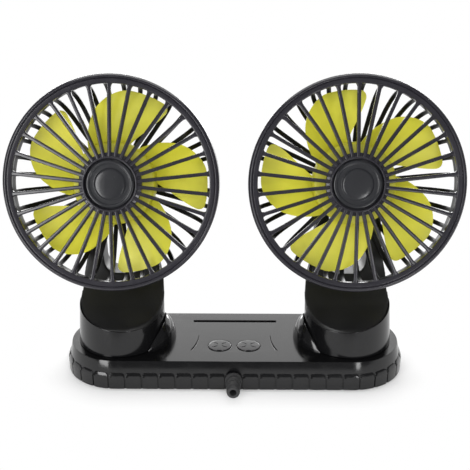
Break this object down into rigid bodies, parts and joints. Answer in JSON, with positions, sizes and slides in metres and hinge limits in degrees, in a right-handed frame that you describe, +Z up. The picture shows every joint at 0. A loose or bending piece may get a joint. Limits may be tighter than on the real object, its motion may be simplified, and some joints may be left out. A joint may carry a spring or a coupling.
{
  "type": "dual head car fan",
  "caption": "Dual head car fan: caged fan heads that tilt on forks, forks on swivelling turrets, and a low grooved base with push buttons and a cable gland.",
  "frame": {"origin": "middle of the non-slip mat's underside, where the base rests on the dashboard", "axes": "+X to the right along the base, +Y to the back, +Z up; the fans blow towards -Y"},
  "size_m": [0.2976, 0.1042, 0.2018],
  "materials": {
    "housing_gloss_black": "glossy moulded",
    "button_black": "semi-gloss moulded",
    "satin_black": "satin moulded",
    "cage_black": "satin moulded",
    "grille_grey": "semi-gloss moulded",
    "cap_grey": "semi-gloss moulded",
    "fan_yellow_green": "semi-gloss moulded",
    "rubber_black": "soft matte",
    "board_green": "solder mask",
    "switch_black": "moulded",
    "lead_black": "smooth jacket",
    "motor_steel": "drawn can",
    "shaft_steel": "ground",
    "screw_steel": "plated"
  },
  "bodies": {
    "base": {"base_housing": "housing_gloss_black", "bottom_cover": "satin_black", "non_slip_mat": "rubber_black", "control_board": "board_green", "cable_gland": "rubber_black", "cover_screw_1": "screw_steel", "cover_screw_2": "screw_steel", "cover_screw_3": "screw_steel", "cover_screw_4": "screw_steel", "board_screw_1": "screw_steel", "board_screw_2": "screw_steel", "button_switch_left": "switch_black", "button_switch_right": "switch_black", "turret_lead_left": "lead_black", "turret_lead_right": "lead_black"},
    "button_body_left": {"button_left": "button_black"},
    "turret_left": {"turret_shell_left": "housing_gloss_black", "yoke_left": "satin_black", "swivel_retainer_left": "satin_black", "retainer_screw_left_a": "screw_steel", "yoke_screw_left_a": "screw_steel", "retainer_screw_left_b": "screw_steel", "yoke_screw_left_b": "screw_steel"},
    "head_left": {"front_grille_left": "grille_grey", "hub_cap_left": "cap_grey", "rear_grille_left": "cage_black", "motor_housing_left": "satin_black", "motor_left": "motor_steel", "pivot_pin_left_a": "screw_steel", "motor_screw_left_a": "screw_steel", "housing_screw_left_a": "screw_steel", "pivot_pin_left_b": "screw_steel", "motor_screw_left_b": "screw_steel", "housing_screw_left_b": "screw_steel"},
    "fan_left": {"fan_blade_left": "fan_yellow_green", "motor_shaft_left": "shaft_steel"},
    "button_body_right": {"button_right": "button_black"},
    "turret_right": {"turret_shell_right": "housing_gloss_black", "yoke_right": "satin_black", "swivel_retainer_right": "satin_black", "retainer_screw_right_a": "screw_steel", "yoke_screw_right_a": "screw_steel", "retainer_screw_right_b": "screw_steel", "yoke_screw_right_b": "screw_steel"},
    "head_right": {"front_grille_right": "grille_grey", "hub_cap_right": "cap_grey", "rear_grille_right": "cage_black", "motor_housing_right": "satin_black", "motor_right": "motor_steel", "pivot_pin_right_a": "screw_steel", "motor_screw_right_a": "screw_steel", "housing_screw_right_a": "screw_steel", "pivot_pin_right_b": "screw_steel", "motor_screw_right_b": "screw_steel", "housing_screw_right_b": "screw_steel"},
    "fan_right": {"fan_blade_right": "fan_yellow_green", "motor_shaft_right": "shaft_steel"}
  },
  "joints": [
    {"name": "swivel_left", "type": "hinge", "parent": "base", "child": "turret_left", "pos_m": [-0.079, 0, 0.02], "axis": [0, 0, 1], "range_deg": [-180, 180]},
    {"name": "tilt_left", "type": "hinge", "parent": "turret_left", "child": "head_left", "pos_m": [-0.079, 0.03352, 0.12363], "axis": [-1, 0, 0], "range_deg": [-3, 60]},
    {"name": "spin_left", "type": "hinge", "parent": "head_left", "child": "fan_left", "pos_m": [-0.079, -0.0095, 0.1346], "axis": [0, -0.969, 0.247], "continuous": true},
    {"name": "button_press_left", "type": "slide", "parent": "base", "child": "button_body_left", "axis": [0, 0, -1], "range_m": [0, 0.0012], "stiffness_N_per_m": 400},
    {"name": "swivel_right", "type": "hinge", "parent": "base", "child": "turret_right", "pos_m": [0.079, 0, 0.02], "axis": [0, 0, 1], "range_deg": [-180, 180]},
    {"name": "tilt_right", "type": "hinge", "parent": "turret_right", "child": "head_right", "pos_m": [0.079, 0.03352, 0.12363], "axis": [-1, 0, 0], "range_deg": [-3, 60]},
    {"name": "spin_right", "type": "hinge", "parent": "head_right", "child": "fan_right", "pos_m": [0.079, -0.0095, 0.1346], "axis": [0, -0.969, 0.247], "continuous": true},
    {"name": "button_press_right", "type": "slide", "parent": "base", "child": "button_body_right", "axis": [0, 0, -1], "range_m": [0, 0.0012], "stiffness_N_per_m": 400}
  ]
}
